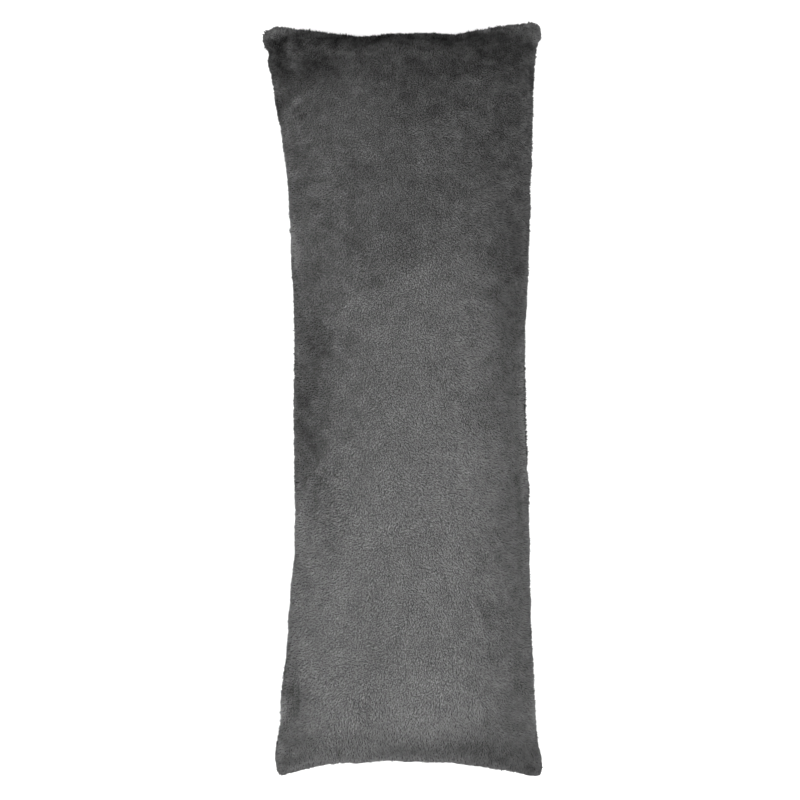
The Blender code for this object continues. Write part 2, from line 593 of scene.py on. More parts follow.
def broad_part(grid, reach):
    """A grid of vectors blurred by a Gaussian, as a product of spectra on its mirrored tiling."""
    across, along = grid.shape[:2]
    tiled = np.pad(grid, ((across, across), (along, along), (0, 0)), mode="reflect")
    waves_across = np.fft.fftfreq(tiled.shape[0])[:, None, None]
    waves_along = np.fft.rfftfreq(tiled.shape[1])[None, :, None]
    fade = np.exp(-2 * (np.pi * reach) ** 2 * (waves_across**2 + waves_along**2))
    spectrum = np.fft.rfft2(tiled, axes=(0, 1)) * fade
    blurred = np.fft.irfft2(spectrum, s=tiled.shape[:2], axes=(0, 1))
    return blurred[across : 2 * across, along : 2 * along]


def gathers(blown):
    """The simulated move of each point, less its broad part and capped."""
    move = blown - bag_points
    kept = np.zeros_like(move)
    for numbers in (front_numbers, back_numbers):
        panel = move[numbers]
        kept[numbers] = panel - SWELLING_REMOVED * broad_part(panel, BROAD / CELL)
    kept[held] = 0.0
    size = np.linalg.norm(kept, axis=1, keepdims=True)
    return kept * np.minimum(1.0, LARGEST_MOVE / np.maximum(size, 1e-9))


gathered = gathers(blown_up(bag))
bag_points = bag_points + gathered
set_points(bag.data.vertices, bag_points)
print("gathers, mm:", (np.linalg.norm(gathered, axis=1).max() * 1000).round(1), "at most,",
      (np.linalg.norm(gathered, axis=1).mean() * 1000).round(2), "on average")


# %% [markdown]
# ## One subdivision
#
# Subdivision Surface rounds the cells. Each point carries its place on the panels' grids as
# attributes, which the modifier passes on half way between points, so afterwards the finer
# points can be put back in two grids, ready for the work that is done panel by panel.

# %% Round the bag and find its finer grids
def with_numbers(mesh, name, values):
    """Adds a number for each point to a mesh."""
    mesh.attributes.new(name, "FLOAT", "POINT").data.foreach_set("value", values)


def read_numbers(mesh, name):
    """Reads back the number of each point."""
    values = np.empty(len(mesh.vertices), np.float32)
    mesh.attributes[name].data.foreach_get("value", values)
    return values


panel_of = np.zeros(len(bag_points))
grid_place = np.zeros((len(bag_points), 2))
rows, columns = np.indices(front.shape[:2])
for numbers, facing in ((back_numbers, -1), (front_numbers, 1)):
    panel_of[numbers] = facing
    grid_place[numbers] = np.stack([rows, columns], axis=-1)
panel_of[seam_numbers] = 0
with_numbers(bag.data, "panel", panel_of)
with_numbers(bag.data, "row", grid_place[:, 0])
with_numbers(bag.data, "column", grid_place[:, 1])
rounding = bag.modifiers.new("rounding", "SUBSURF")
rounding.levels = rounding.render_levels = 1
rounded = bpy.data.meshes.new_from_object(evaluated(bag))
fine_points = mesh_points(rounded)
fine_panel = np.sign(read_numbers(rounded, "panel").round(3))
fine_row = (read_numbers(rounded, "row") * 2).round().astype(int)
fine_column = (read_numbers(rounded, "column") * 2).round().astype(int)


def fine_grid(facing):
    """The rounded mesh's vertex numbers as one panel's grid."""
    numbers = np.empty((2 * CELLS_ACROSS + 1, 2 * CELLS_ALONG + 1), int)
    mine = np.flatnonzero((fine_panel == facing) | (fine_panel == 0))
    numbers[fine_row[mine], fine_column[mine]] = mine
    return numbers


fine_numbers = {facing: fine_grid(facing) for facing in (1, -1)}
bpy.data.objects.remove(bag, do_unlink=True)
print("rounded:", len(fine_points), "points; one panel's grid:", fine_numbers[1].shape)


# %% [markdown]
# ## Puckers and creases
#
# A long seam draws thick cloth together, and it puckers across the seam. The ears are nearly
# empty, so creases run from them into the panel. The filling leaves a few lone creases too. All
# are shallow and soft, because plush is thick. Sculpting them by hand would be slow to change,
# so each kind is a formula on the panel's grid: noise that varies along the seam and fades
# away from it, waves round an ear's tip, and a short table of single folds.

# %% Where each point is on the cut cloth
HALF_CELL_X = cloth_width / CELLS_ACROSS / 2
HALF_CELL_Y = cloth_length / CELLS_ALONG / 2
cloth_x, cloth_y = np.indices(fine_numbers[1].shape) * 1.0
cloth_x, cloth_y = cloth_x * HALF_CELL_X, cloth_y * HALF_CELL_Y
from_side = np.minimum(cloth_x, cloth_width - cloth_x)
from_end = np.minimum(cloth_y, cloth_length - cloth_y)
print("cloth on the fine grid, m:", cloth_x.max().round(3), "x", cloth_y.max().round(3))

# %% Puckers along the seam
PUCKER_HEIGHT = (0.0046, 0.0022)  # along the sides, and along the ends, where cloth is tighter
PUCKER_WIDTH = 0.028  # from one pucker to the next
PUCKER_REACH = 0.016  # from the seam to a pucker's highest place
PUCKER_SLOW = 0.3  # how fast one changes away from the seam, as a share of how fast along it
PUCKER_SLANT, SLANT_SIZE = 0.5, 0.22  # how far it slants, and over what length that varies
PUCKER_MEAN, PUCKER_DRIFT, PATCH_SIZE = 0.65, 0.45, 0.13  # the same for its share of the height
REACH_MEAN, REACH_DRIFT, REACH_SIZE = 1.3, 0.6, 0.09  # and of the reach
PUCKER_CLEAR = 0.05  # they fade out within this of the other two edges


def puckers(facing):
    """How far the puckers lift a panel: noise along the seam, humped with the distance from it."""
    lift = np.zeros_like(cloth_x)
    for seed, (edge, (away, along, _)) in enumerate(edges_of(cloth_x, cloth_y).items()):
        axis, _ = EDGES[edge]
        number = 10 * seed + facing
        slant = PUCKER_SLANT * soft_noise(along, 0.5, SLANT_SIZE, 40 + number)
        wave = soft_noise(along + slant * away, away * PUCKER_SLOW, PUCKER_WIDTH, 80 + number)
        patchy = PUCKER_MEAN + PUCKER_DRIFT * soft_noise(along, 0.5, PATCH_SIZE, 120 + number)
        reach = REACH_MEAN + REACH_DRIFT * soft_noise(along, 0, REACH_SIZE, 160 + number)
        hump = humped(away, PUCKER_REACH * reach)
        hump = hump * ramp((from_end, from_side)[axis], 0, PUCKER_CLEAR)
        lift = lift + PUCKER_HEIGHT[axis] * patchy * wave * hump
    return lift


# %% Creases that run in from the ears
EAR_CREASES = (  # side and end, waves round the ear, how far they are turned, and their height
    (-1, -1, 5, 0.4, 0.0032),
    (1, -1, 6, 1.9, 0.0026),
    (-1, 1, 6, 0.9, 0.0034),
    (1, 1, 5, 2.6, 0.0022),
)
EAR_REACH = 0.075  # from an ear's tip to the creases' highest place
CREASE_WANDER, WANDER_SIZE = 0.25, 0.06  # how far they bend, and over what length
BACK_TURN = 0.8  # the back's creases aren't under the front's


def ear_creases(facing):
    """Waves round each ear's tip, h cos(n a + turn), highest at their reach and fading past it."""
    lift = np.zeros_like(cloth_x)
    for side, end, waves, turn, height in EAR_CREASES:
        x = cloth_x if side < 0 else cloth_width - cloth_x
        y = cloth_y if end < 0 else cloth_length - cloth_y
        angle = np.arctan2(x, y)
        fade = humped(np.hypot(x, y), EAR_REACH) ** 2 * np.sin(2 * angle) ** 0.5
        angle = angle + CREASE_WANDER * soft_noise(x, y, WANDER_SIZE, 10 * waves)
        lift = lift + height * np.cos(waves * angle * 2 + turn + BACK_TURN * facing) * fade
    return lift


# %% Long soft spots, for folds and for stroked places and painted light
def spots(rows, value):
    """A table of spots: middle in plan, heading in degrees, length, width and a value."""
    names = ("x", "y", "heading", "length", "width", value)
    return np.array(rows, dtype=[(name, float) for name in names])


def stretched(x, y, spot):
    """Distance from a spot's middle, hypot(forward / length, sideways / width)."""
    turn = np.radians(spot["heading"])
    forward = (x - spot["x"]) * np.cos(turn) + (y - spot["y"]) * np.sin(turn)
    sideways = (y - spot["y"]) * np.cos(turn) - (x - spot["x"]) * np.sin(turn)
    return np.hypot(forward / spot["length"], sideways / spot["width"])


# %% Single folds of the front panel
FOLDS = [
    (-0.186, 0.527, 38, 0.034, 0.008, 0.0035),  # the pull from the left of the head
    (-0.176, 0.511, 38, 0.034, 0.009, -0.0040),
    (-0.217, 0.632, 80, 0.036, 0.011, -0.0070),  # beside the left ear of the head
    (-0.229, 0.655, 50, 0.026, 0.012, 0.0040),
    (-0.205, 0.468, 10, 0.018, 0.006, -0.0025),
    (-0.203, 0.415, 25, 0.020, 0.007, 0.0022),
    (-0.190, -0.545, 75, 0.042, 0.012, -0.0050),  # the tuck above the left ear of the foot
    (-0.213, -0.585, 80, 0.045, 0.008, 0.0035),
    (-0.140, -0.592, 60, 0.022, 0.010, -0.0030),
    (-0.120, -0.628, -20, 0.030, 0.009, -0.0022),
    (0.205, 0.560, -60, 0.040, 0.010, -0.0024),
    (0.215, -0.560, 70, 0.050, 0.011, -0.0024),
]


def folds(x, y):
    """Soft ridges and troughs: the sum of height * exp(-(stretched distance)^2)."""
    lift = np.zeros_like(x)
    for fold in spots(FOLDS, "height"):
        lift = lift + fold["height"] * fading(stretched(x, y, fold), 1)
    return lift


# %% Work them into the cover
UNEVEN = 0.0016  # height of the lumps of filling that show through the cloth
LUMP_SIZES = (0.060, 0.110)
SEAM_CLEAR = 0.006  # the stitches hold the cloth down within this of the seam


def finished_panel(facing):
    """A panel's fine grid, lifted along its normals by puckers, creases, folds and lumps."""
    points = fine_points[fine_numbers[facing]]
    lift = puckers(facing) + ear_creases(facing)
    for number, size in enumerate(LUMP_SIZES):
        lift = lift + UNEVEN * soft_noise(cloth_x, cloth_y, size, 200 + 10 * number + facing)
    if facing > 0:
        lift = lift + folds(points[..., 0], points[..., 1])
    lift = lift * (1 - fading(np.minimum(from_side, from_end), SEAM_CLEAR))
    points = points + unit_normals(points, facing) * lift[..., None]
    points[..., 2] = np.maximum(points[..., 2], FLOOR + CRUSHED_PILE)
    return points


panels = {facing: finished_panel(facing) for facing in (1, -1)}
for facing, panel in panels.items():
    fine_points[fine_numbers[facing]] = panel
set_points(rounded.vertices, fine_points)
rounded.update()
rounded.name = "pillow_cover"
cover = linked("pillow_cover", rounded)
print("cover's box, m:", fine_points.min(axis=0).round(4), fine_points.max(axis=0).round(4))


# %% [markdown]
# ## A map for the cover
#
# The two panels lie side by side on the cover's UV map, as they would be cut from a length of
# cloth. The finish reads places in the room, and the map is for whoever bakes or paints it.

# %% Lay the panels out on the map
def set_map(mesh, places):
    """Gives each face corner of a mesh its place on the map."""
    layer = mesh.uv_layers.new(name="OFBake")
    layer.uv.foreach_set("vector", places.astype(np.float32).ravel())


def layout(mesh):
    """Each face corner's place on the map: the front on the left half, the back on the right."""
    corners = np.empty(len(mesh.loops), np.int32)
    mesh.loops.foreach_get("vertex_index", corners)
    corners = corners.reshape(-1, 4)
    on_back = fine_panel[corners].min(axis=1, keepdims=True) < 0
    across = fine_row[corners] / (2 * CELLS_ACROSS)
    along = fine_column[corners] / (2 * CELLS_ALONG)
    return np.stack([(0.01 + 0.48 * across) + 0.5 * on_back, 0.01 + 0.98 * along], axis=-1)


set_map(cover.data, layout(cover.data))
print("faces on the map:", len(cover.data.polygons))


# %% [markdown]
# ## Pile
#
# Plush is a knitted back with a dense pile of fine fibres, which cling together in locks. A bump
# pattern would give the grain but a smooth outline, and hair curves wouldn't be a mesh. So each
# lock is a slim closed spike of four triangles. Its root sits on the cover, and its tip leans
# with the nap. Neighbours cling into short strokes along the nap, which give plush its grain.

# %% Read any place on a panel
def read_grid(grid, row, column):
    """A grid's value between its points: the bilinear mean of the four around it."""
    low_row = np.clip(row.astype(int), 0, grid.shape[0] - 2)
    low_column = np.clip(column.astype(int), 0, grid.shape[1] - 2)
    t, w = row - low_row, column - low_column
    if grid.ndim == 3:
        t, w = t[:, None], w[:, None]
    lower = grid[low_row, low_column] * (1 - t) + grid[low_row + 1, low_column] * t
    upper = grid[low_row, low_column + 1] * (1 - t) + grid[low_row + 1, low_column + 1] * t
    return lower * (1 - w) + upper * w


def directions(panel, facing):
    """The panel's unit normals, and its unit tangents across it and along it."""
    normal = unit_normals(panel, facing)
    along = np.gradient(panel, axis=1)
    along /= np.linalg.norm(along, axis=-1, keepdims=True)
    return normal, np.cross(along, normal) * facing, along


# %% [markdown]
# ## The nap
#
# Pile is pressed over to one side as the cloth is finished, and every hand since has combed it
# further. That lean is the nap. It could be the same all over, but real plush has swirls where it
# was stroked, and it catches the light differently there. So its heading is turned by noise of
# three sizes. Beside the seam nothing presses on the pile, and it stands out over the edge.

# %% The nap: which way the pile leans
NAP_HEADING = -90.0  # towards the foot, in degrees from +X
SWIRLS = ((0.150, 30.0), (0.045, 40.0), (0.014, 60.0))  # size and how far each turns the nap
CALM = (0.143, -0.012, 0.055, 0.8)  # where it lies straighter: middle in plan, size and share
FRINGE = 0.012  # within this of the seam the pile stands up and leans out over it
FRINGE_LEAN = 0.45


def nap(x, y, facing):
    """Lean across and along: a heading turned by swirls, and outwards instead at the seam."""
    swirl = np.zeros_like(x)
    for seed, (size, turn) in enumerate(SWIRLS):
        swirl = swirl + turn * soft_noise(x, y, size, 300 + 10 * seed + facing)
    if facing > 0:
        middle_x, middle_y, size, share = CALM
        away = np.hypot(panels[facing][..., 0] - middle_x, panels[facing][..., 1] - middle_y)
        swirl = swirl * (1 - share * fading(away, size))
    heading = np.radians(NAP_HEADING + swirl)
    across, along = np.cos(heading), np.sin(heading)
    at_side = fading(np.minimum(x, cloth_width - x), FRINGE)
    at_end = fading(np.minimum(y, cloth_length - y), FRINGE)
    inner = (1 - at_side) * (1 - at_end)
    across = across * inner + FRINGE_LEAN * at_side * np.sign(x - cloth_width / 2)
    along = along * inner + FRINGE_LEAN * at_end * np.sign(y - cloth_length / 2)
    return across, along


naps = {facing: np.stack(nap(cloth_x, cloth_y, facing), axis=-1) for facing in (1, -1)}
print("mean lean of the front, across and along:", naps[1].mean(axis=(0, 1)).round(2))


# %% [markdown]
# ## Smooth places and rough ones
#
# Where a pillow is handled its pile is combed smooth, and where it is bunched or folded tufts
# stand up. One amount of roughness all over would look like a carpet. So the roughness rises and
# falls along a few ramps, with noise on top, and a short table names the places where tufts stand.

# %% How evenly the pile is combed
def combed(x, y):
    """From 0, tousled, to 1, combed smooth: smoother towards the head and down the right side."""
    across, along = x / cloth_width, y / cloth_length
    head = 0.65 * ramp(along, 0.62, 0.92)
    right = 0.85 * ramp(across, 0.68, 0.92)
    foot = ramp(along, 0.11, 0.05)
    ear = ramp(across, 0.70, 0.85) * foot
    patches = 0.30 * soft_noise(x, y, 0.070, 401)
    return np.clip(np.maximum(head, right) + patches + 0.6 * ear + 0.4 * foot, 0, 1)


# %% Where tufts stand up
TUFTS = (  # middle in plan, size, and how much rougher the pile is there
    (-0.122, -0.608, 0.024, 0.9),
    (-0.180, -0.500, 0.020, 0.6),
    (-0.205, -0.630, 0.016, 0.6),
    (-0.225, 0.560, 0.018, 0.8),
    (-0.170, 0.500, 0.030, 0.5),
    (0.200, 0.560, 0.018, 0.9),
    (0.110, 0.540, 0.020, 0.6),
    (-0.120, -0.150, 0.040, 0.4),
    (-0.066, -0.555, 0.026, 0.7),
    (-0.095, -0.225, 0.028, 0.6),
    (-0.005, -0.260, 0.045, 0.3),
)


def tufted(x, y):
    """How much rougher than usual: 1 plus each place's amount times exp(-(distance / size)^2)."""
    rough = np.ones_like(x)
    for middle_x, middle_y, size, amount in TUFTS:
        rough = rough + amount * fading(np.hypot(x - middle_x, y - middle_y), size)
    return rough


# %% [markdown]
# ## Strokes
#
# Neighbouring locks cling together in short strokes along the nap, and those strokes are the
# grain that the eye sees. They could be drawn one by one, but there are far too many. Smearing
# random numbers along the nap makes them all at once, and each follows the swirls.

# %% Smear random numbers along the nap
STROKE_CELL = 0.0010
STROKE_WIDTH = 0.00064  # of one stroke, as a Gaussian's
STROKE_STEP = 0.0008  # how far along the nap each is smeared, either way
STROKE_LARGEST = 4  # what is this many times as wide isn't a stroke, and is taken off


def strokes(facing):
    """A random field plus itself one step up the nap and one down, less its broad part."""
    shape = round(cloth_width / STROKE_CELL) + 1, round(cloth_length / STROKE_CELL) + 1
    field = np.random.default_rng(50 + facing).normal(size=(*shape, 1))
    field = broad_part(field, STROKE_WIDTH / STROKE_CELL)[..., 0]
    x, y = (start.ravel() * STROKE_CELL for start in np.indices(shape))
    lean = read_grid(naps[facing], x / HALF_CELL_X, y / HALF_CELL_Y)
    smeared = field.copy()
    for step in (-STROKE_STEP, STROKE_STEP):
        row = np.clip(x + step * lean[:, 0], 0, cloth_width) / STROKE_CELL
        column = np.clip(y + step * lean[:, 1], 0, cloth_length) / STROKE_CELL
        smeared += read_grid(field, row, column).reshape(shape)
    smeared -= broad_part(smeared[..., None], STROKE_LARGEST * STROKE_WIDTH / STROKE_CELL)[..., 0]
    return smeared / smeared.std()


# %% [markdown]
# ## Light and shade at the rim
#
# Where the front's pile turns over the rim it is seen side-on, and its many tips look lighter.
# The back's pile beside it lies in the shade, most of all where the seam has rolled on to the
# front. Lamps alone would show little of this on locks so few and so stout, so each lock carries
# the shade of its place as a number, which its finish reads.

# %% How the pile's tone changes along the rim
RIM_LIGHT = 0.24  # how much lighter the front's rim is, everywhere
RIM_LIGHT_REACH = 0.018
RIM_TONES = (  # edge, middle and half length in shares of it, change of tone and its reach
    ("left", 0.055, 0.020, 0.50, 0.014),
    ("left", 0.150, 0.040, 0.25, 0.014),
    ("left", 0.500, 0.060, 0.25, 0.016),
    ("left", 0.740, 0.100, 0.15, 0.020),
    ("left", 0.872, 0.018, -0.70, 0.020),
    ("left", 0.910, 0.060, -0.60, 0.013),
    ("left", 0.965, 0.020, -0.45, 0.014),
    ("right", 0.035, 0.022, 0.35, 0.012),
    ("right", 0.390, 0.060, 0.40, 0.022),
    ("right", 0.427, 0.030, 0.30, 0.014),
    ("right", 0.500, 0.090, 0.70, 0.012),
    ("right", 0.810, 0.030, -0.45, 0.014),
    ("foot", 0.400, 0.300, 0.25, 0.014),
    ("head", 0.400, 0.280, -1.00, 0.016),
    ("head", 0.778, 0.014, 1.10, 0.013),
    ("head", 0.780, 0.050, -0.50, 0.012),
    ("head", 0.940, 0.070, 0.30, 0.020),
)
BACK_DARK = 0.35  # the back's pile lies in the shade beside the seam
BACK_DARK_REACH = 0.020
ROLLED_DARK = 0.60  # and more so where the seam rolls on to the front
DARKEST = {1: -0.95, -1: -0.90}  # no change goes below this, on the front and on the back


def rim_tone(x, y, facing):
    """The sum of change * fading(share - middle, half) * fading(distance, reach)."""
    edges = edges_of(x, y)
    nearest = np.minimum.reduce([distance for distance, _, _ in edges.values()])
    if facing > 0:
        tone = RIM_LIGHT * fading(nearest, RIM_LIGHT_REACH)
        for edge, middle, half, change, reach in RIM_TONES:
            distance, running, length = edges[edge]
            tone = tone + change * fading(running / length - middle, half) * fading(distance, reach)
    else:
        tone = -BACK_DARK * fading(nearest, BACK_DARK_REACH)
        for edge, (distance, running, length) in edges.items():
            rolled = bumps(ROLLED_PLACES, edge, running / length)
            tone = tone - ROLLED_DARK * rolled * fading(distance, BACK_DARK_REACH)
    return np.maximum(tone, DARKEST[facing])


# %% [markdown]
# ## Stroked places and painted light
#
# A hand drawn over plush turns its nap, and leaves a patch a little darker or lighter than what
# is round it. Many rows here are painted light and shade instead: painted shadows in folds and in
# the tucks by the ears, painted highlights on their ridges and on the left ear of the head,
# painted shade down both sides, where they turn away from the lamps, and thin painted dark lines
# in crevices by the seam. Each patch is a row: where its middle is, which way it runs, how long
# and wide it is and how much it changes. They could be nodes in the material, but a hundred of
# them would be too many for it. So they are worked out once for each point, which carries the sum.

# %% Patches of turned nap, painted shade and painted highlights: how much lighter or darker they are
NAP_PATCHES_AND_PAINTED_LIGHT = [
    (-0.222, 0.628, 80, 0.045, 0.013, -0.20),  # painted shadow of the fold beside the left ear of the head
    (-0.222, 0.652, 16, 0.024, 0.009, -0.20),
    (-0.214, 0.671, 10, 0.036, 0.011, 0.60),  # the ear itself, a painted highlight
    (-0.242, 0.658, 60, 0.024, 0.012, 0.14),
    (-0.228, 0.555, 84, 0.024, 0.006, 0.30),
    (-0.188, 0.538, 28, 0.036, 0.009, 0.30),  # painted highlight on the pull from the left of the head, painted shade beside it
    (-0.165, 0.513, 20, 0.034, 0.009, -0.14),
    (-0.160, 0.605, 20, 0.060, 0.028, -0.14),
    (-0.145, 0.570, 0, 0.028, 0.018, -0.10),
    (-0.115, 0.500, 0, 0.080, 0.065, 0.15),
    (0.090, 0.600, 80, 0.100, 0.090, -0.13),
    (-0.070, 0.650, 2, 0.075, 0.014, -0.22),
    (0.075, 0.650, 0, 0.030, 0.014, -0.14),
    (-0.140, 0.601, 0, 0.075, 0.022, -0.15),
    (0.115, 0.601, 0, 0.035, 0.020, -0.17),
    (-0.090, 0.545, 0, 0.050, 0.040, 0.14),
    (0.140, 0.557, 0, 0.050, 0.020, 0.13),
    (0.025, 0.513, 0, 0.035, 0.024, -0.16),
    (0.150, 0.645, 80, 0.026, 0.012, -0.12),  # beside the right ear of the head
    (0.200, 0.590, 60, 0.030, 0.014, -0.10),
    (0.232, 0.668, -14, 0.044, 0.016, 0.34),
    (0.144, 0.674, -8, 0.015, 0.008, 0.85),
    (0.128, 0.450, 90, 0.045, 0.028, -0.22),
    (0.065, 0.390, 0, 0.080, 0.025, -0.18),
    (0.236, 0.580, 88, 0.035, 0.010, -0.20),
    (0.086, 0.225, 10, 0.080, 0.045, 0.27),
    (0.045, 0.095, 0, 0.050, 0.025, 0.15),
    (-0.078, 0.088, 80, 0.025, 0.015, 0.24),
    (-0.122, 0.106, 90, 0.030, 0.014, -0.24),
    (-0.155, 0.238, 0, 0.018, 0.014, 0.18),
    (-0.096, -0.205, 60, 0.018, 0.014, -0.13),
    (-0.183, -0.056, 90, 0.020, 0.014, -0.12),
    (-0.150, -0.150, 90, 0.025, 0.014, -0.09),
    (-0.118, 0.205, 20, 0.030, 0.020, 0.24),
    (-0.050, 0.335, 0, 0.036, 0.016, 0.12),
    (-0.040, 0.212, 0, 0.032, 0.018, -0.12),
    (-0.155, -0.400, 90, 0.035, 0.022, -0.14),
    (-0.057, -0.232, 90, 0.030, 0.022, 0.12),
    (-0.150, 0.428, 20, 0.050, 0.024, 0.15),
    (-0.192, 0.370, 90, 0.035, 0.022, -0.12),
    (-0.070, 0.205, 0, 0.050, 0.014, -0.15),
    (-0.020, -0.030, 90, 0.040, 0.020, 0.13),
    (-0.195, 0.290, 90, 0.050, 0.025, 0.22),
    (-0.190, -0.220, 90, 0.045, 0.022, 0.15),
    (0.214, -0.180, 90, 0.140, 0.011, -0.20),
    (0.214, 0.225, 90, 0.070, 0.010, -0.10),
    (0.168, 0.238, 0, 0.016, 0.014, -0.18),
    (0.122, -0.108, 90, 0.045, 0.026, 0.14),
    (0.090, -0.020, 0, 0.050, 0.016, 0.12),
    (0.085, 0.127, 0, 0.028, 0.016, 0.16),
    (0.193, -0.205, 0, 0.014, 0.014, 0.15),
    (0.188, 0.637, 0, 0.013, 0.010, 0.10),
    (0.190, 0.548, 90, 0.028, 0.010, 0.09),
    (0.228, 0.570, 88, 0.050, 0.008, -0.10),
    (0.190, 0.130, 88, 0.150, 0.036, -0.24),  # painted shade down the right side, where it turns away from the lamps
    (-0.186, -0.010, 92, 0.220, 0.050, -0.36),  # painted shade down the left side, where it turns away from the lamps
    (-0.150, -0.010, 91, 0.240, 0.030, -0.15),
    (-0.125, -0.200, 90, 0.080, 0.022, -0.14),
    (0.010, 0.010, 88, 0.110, 0.050, 0.11),
    (-0.150, 0.110, 88, 0.080, 0.024, -0.28),
    (-0.125, 0.000, 80, 0.040, 0.025, -0.14),
    (-0.098, -0.018, 0, 0.045, 0.018, -0.12),
    (-0.172, -0.030, 90, 0.080, 0.022, -0.10),
    (-0.130, -0.250, 90, 0.090, 0.030, -0.10),
    (-0.030, -0.200, 90, 0.100, 0.050, 0.10),
    (0.070, -0.330, 90, 0.300, 0.100, 0.10),
    (-0.182, 0.165, 90, 0.034, 0.018, -0.20),
    (-0.196, 0.214, 90, 0.034, 0.014, -0.27),
    (-0.173, 0.045, 90, 0.030, 0.012, 0.12),
    (-0.170, -0.148, 90, 0.035, 0.026, -0.15),
    (-0.075, -0.165, 60, 0.026, 0.018, 0.14),
    (-0.200, -0.270, 90, 0.160, 0.028, -0.18),
    (-0.225, -0.510, 84, 0.120, 0.030, -0.36),
    (-0.190, -0.600, 10, 0.045, 0.025, -0.12),
    (-0.184, -0.540, 70, 0.045, 0.016, -0.32),  # painted shadow of the tuck above the left ear of the foot, and a highlight on its ridge
    (-0.214, -0.563, 82, 0.032, 0.006, 0.32),
    (-0.065, -0.552, 10, 0.045, 0.018, -0.16),
    (-0.138, -0.595, 60, 0.028, 0.014, -0.18),
    (0.040, -0.640, 2, 0.190, 0.018, -0.16),
    (0.230, -0.671, 8, 0.032, 0.012, -0.16),
    (0.126, -0.664, 8, 0.050, 0.015, -0.28),
    (0.125, -0.625, 0, 0.040, 0.020, -0.13),
    (-0.135, -0.664, 10, 0.035, 0.014, -0.13),
    (-0.092, -0.625, 0, 0.022, 0.018, 0.15),
    (0.232, -0.450, 86, 0.120, 0.012, -0.12),
    (0.040, -0.510, 0, 0.080, 0.040, 0.09),
    (-0.205, -0.493, 90, 0.025, 0.022, -0.13),
    (0.173, -0.406, 0, 0.020, 0.020, 0.15),
    (0.100, -0.406, 0, 0.040, 0.020, 0.11),
    (-0.030, -0.590, 0, 0.035, 0.025, -0.12),
    (-0.205, -0.532, 70, 0.018, 0.012, -0.26),
    (-0.186, -0.552, 86, 0.024, 0.004, -0.30),
    (-0.222, -0.500, 84, 0.060, 0.004, -0.30),
    (0.243, -0.595, -78, 0.045, 0.005, 0.35),
]
NAP_PATCHES_AND_PAINTED_LIGHT_SIZE = 1.6  # how far out a place fades away, in its own lengths and widths


def nap_patches_and_painted_light(x, y):
    """The sum over the table of change (1 - (3 t^2 - 2 t^3)).

    t is the stretched distance from the place's middle over NAP_PATCHES_AND_PAINTED_LIGHT_SIZE, and at most 1.
    """
    tone = np.zeros_like(x)
    for place in spots(NAP_PATCHES_AND_PAINTED_LIGHT, "change"):
        t = np.minimum(stretched(x, y, place) / NAP_PATCHES_AND_PAINTED_LIGHT_SIZE, 1.0)
        tone = tone + place["change"] * (1 - t * t * (3 - 2 * t))
    return tone


change = nap_patches_and_painted_light(fine_points[:, 0], fine_points[:, 1])
with_numbers(cover.data, "nap_patches_and_painted_light", change)
print("stroked places:", len(NAP_PATCHES_AND_PAINTED_LIGHT), "from", change.min().round(2), "to", change.max().round(2))


# %% [markdown]
# ## Where locks stand
#
# The knit of real plush sets its tufts in rows. Rows as coarse as these would show, and wholly
# random places would leave bald spots, so each lock has a cell of its own and a chance place
# inside it.

# %% Scatter the roots
LOCK_SPACING = 0.00228


def scattered(spacing, rng):
    """Even, jittered places over the whole cut: a lattice moved by up to half a step."""
    steps = round(cloth_width / spacing), round(cloth_length / spacing)
    places = np.stack(np.indices(steps), axis=-1) + 0.5 + rng.uniform(-0.48, 0.48, (*steps, 2))
    return (places * (cloth_width / steps[0], cloth_length / steps[1])).reshape(-1, 2)


# %% [markdown]
# ## Roots and tips
#
# A lock is five things: where its root is, which way is up there, how high it rises, how far it
# leans with the nap, and how light it is. Each is a whole array with a number for every lock, so
# the formulas below read like those for a single one. The pile is longer and stouter beside the
# seam, fluffs up in clumps at the ears, and is short in the groove, where the seam shows.

# %% Grow a panel's locks
LOCK_WIDTH = 0.0030
LOCK_RISE = 0.0048
LOCK_LEAN = 0.0029
SMOOTHED = 0.65  # how much less the strokes show where the pile is combed smooth
BURSTS = 0.45  # how much rougher or smoother the pile is from place to place
BURST_SIZE = 0.028
STROKE_RISE = 0.0006  # how much higher the pile stands on a stroke's crest
STROKE_PULL = 0.0005  # how far tips are drawn to the crest beside them
FRINGE_RISE = 0.0020  # more length beside the seam
FRINGE_CLUMPS = 0.0020  # and how much more or less in clumps there
FRINGE_STOUT = 0.8  # and how much stouter the locks are, so that none shows between them
CLUMP_SIZE = 0.0046
EAR_FLUFF = np.array([[0.0030, 0.0060], [0.0025, 0.0050]])  # at the ears: left, right; foot, head
EAR_REACHED = 0.050
EAR_CLUMP_SIZE = 1.6 * CLUMP_SIZE
EAR_FLATTEST = -0.3  # the least of a clump that counts there, so that none is bald
GROOVE = 0.0035  # within this of it the pile is short, so the seam shows as a line
GROOVE_RISE = 0.5  # as a share
GROOVE_DARK = 0.47  # how much less light gets into it
RIM_DARK = 0.38  # and how much less gets in between the two panels' pile
RIM_DARK_REACH = 0.0100
CREST_SHADE = 0.55  # how much lighter a lock is on a crest
CHANCE_SHADE = 0.50  # and by chance
TIP_CLEAR = 0.0004  # tips stay this far above the floor


